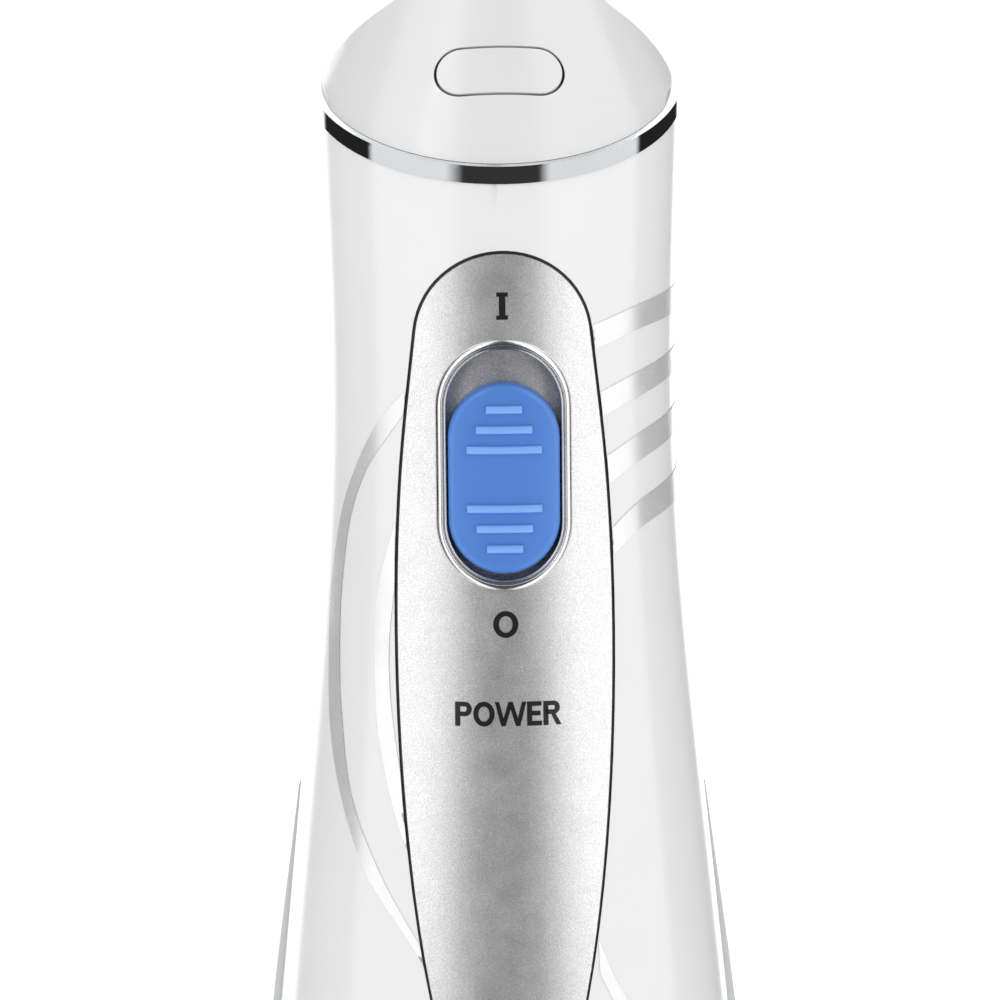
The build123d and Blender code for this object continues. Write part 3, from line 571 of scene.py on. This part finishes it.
# --- Stage, light and camera --------------------------------------------------------------
def add_floor():
    mesh = bpy.data.meshes.new("floor")
    half = 12.0
    corners = [(-half, -half, 0), (half, -half, 0), (half, half, 0), (-half, half, 0)]
    mesh.from_pydata(corners, [], [(0, 1, 2, 3)])
    floor = bpy.data.objects.new("floor", mesh)
    bpy.context.scene.collection.objects.link(floor)
    made, tree, shader = new_material("floor")
    shader.inputs["Base Color"].default_value = (0.9, 0.9, 0.9, 1)
    shader.inputs["Roughness"].default_value = 0.9
    shader.inputs["Emission Color"].default_value = (1, 1, 1, 1)
    shader.inputs["Emission Strength"].default_value = 0.45
    mesh.materials.append(made)
    floor.visible_glossy = False


def add_world():
    """White surroundings, with the studio's dark camera side and dark flags seen only in reflections."""
    world = bpy.data.worlds.new("studio")
    bpy.context.scene.world = world
    world.use_nodes = True
    tree = world.node_tree
    tree.nodes.clear()
    output = tree.nodes.new("ShaderNodeOutputWorld")
    paths = tree.nodes.new("ShaderNodeLightPath")

    def background(strength):
        made = tree.nodes.new("ShaderNodeBackground")
        made.inputs["Strength"].default_value = strength
        return made

    def mix(factor, first, second):
        made = tree.nodes.new("ShaderNodeMixShader")
        tree.links.new(factor, made.inputs["Fac"])
        tree.links.new(first, made.inputs[1])
        tree.links.new(second, made.inputs[2])
        return made.outputs[0]

    seen, soft, mirrored = background(1.05), background(SOFT_LIGHT), background(1.0)
    coords = tree.nodes.new("ShaderNodeTexCoord").outputs["Generated"]
    split = tree.nodes.new("ShaderNodeSeparateXYZ")
    tree.links.new(coords, split.inputs["Vector"])
    flip = tree.nodes.new("ShaderNodeMath")
    flip.operation = "MULTIPLY"
    flip.inputs[1].default_value = -1
    tree.links.new(split.outputs["Y"], flip.inputs[0])
    angle = tree.nodes.new("ShaderNodeMath")
    angle.operation = "ARCTAN2"
    tree.links.new(split.outputs["X"], angle.inputs[0])
    tree.links.new(flip.outputs[0], angle.inputs[1])
    turn = tree.nodes.new("ShaderNodeMapRange")
    turn.inputs["From Min"].default_value = -pi
    turn.inputs["From Max"].default_value = pi
    tree.links.new(angle.outputs[0], turn.inputs["Value"])
    stops = []
    for degrees, light in ZONES:
        stops.append(((degrees + 180) / 360, (light,) * 3))
    tree.links.new(ramp(tree, turn.outputs["Result"], stops), mirrored.inputs["Color"])
    rest = mix(paths.outputs["Is Glossy Ray"], soft.outputs[0], mirrored.outputs[0])
    tree.links.new(mix(paths.outputs["Is Camera Ray"], rest, seen.outputs[0]), output.inputs["Surface"])


SOFT_LIGHT = 0.93
# What mirrors see round the object: (degrees from the front, positive right, brightness).
ZONES = [
    (-180, 2.1), (-140, 2.1), (-136, 0.03), (-90, 0.03), (-86, 1.45), (-34, 1.4), (-23, 0.06),
    (25, 0.06), (32, 1.4), (96, 1.45), (100, 0.03), (150, 0.03), (154, 2.1), (180, 2.1),
]  # fmt: skip


def add_softbox(name, place, target, size, power):
    light = bpy.data.lights.new(name, "AREA")
    light.shape = "RECTANGLE"
    light.size, light.size_y = size
    light.energy = power
    lamp = bpy.data.objects.new(name, light)
    bpy.context.scene.collection.objects.link(lamp)
    lamp.location = place
    lamp.rotation_euler = (Vector(target) - Vector(place)).to_track_quat("-Z", "Y").to_euler()
    return lamp


def add_camera():
    """Long lens, a little above the grip, framing the switch and the top of the grip."""
    azimuth, elevation, roll = radians(-1.4), radians(7.5), radians(-0.5)
    distance, target = 0.9, Vector((0, 0, 0.120))
    ahead = Vector((-sin(azimuth) * cos(elevation), cos(azimuth) * cos(elevation), -sin(elevation)))
    camera = bpy.data.cameras.new("camera")
    camera.lens = 227.4
    camera.sensor_width = 36
    camera.clip_end = 100
    holder = bpy.data.objects.new("camera", camera)
    bpy.context.scene.collection.objects.link(holder)
    holder.location = target - ahead * distance
    turn = ahead.to_track_quat("-Z", "Y").to_matrix().to_4x4()
    holder.matrix_world = Matrix.Translation(holder.location) @ turn @ Matrix.Rotation(roll, 4, "Z")
    bpy.context.scene.camera = holder


dress_cad_nodes()
add_foils()
add_on_mark()
add_off_mark()
add_power_word()
add_slot_rim()
add_button_gap_shade()
add_floor()
add_world()
add_softbox("key", (-0.9, -1.1, 1.3), (0, 0, 0.13), (0.6, 0.6), 2.5)
add_softbox("fill", (1.1, -0.9, 0.9), (0, 0, 0.13), (0.6, 0.6), 1.5)
add_camera()
bpy.context.scene.view_settings.view_transform = "Standard"
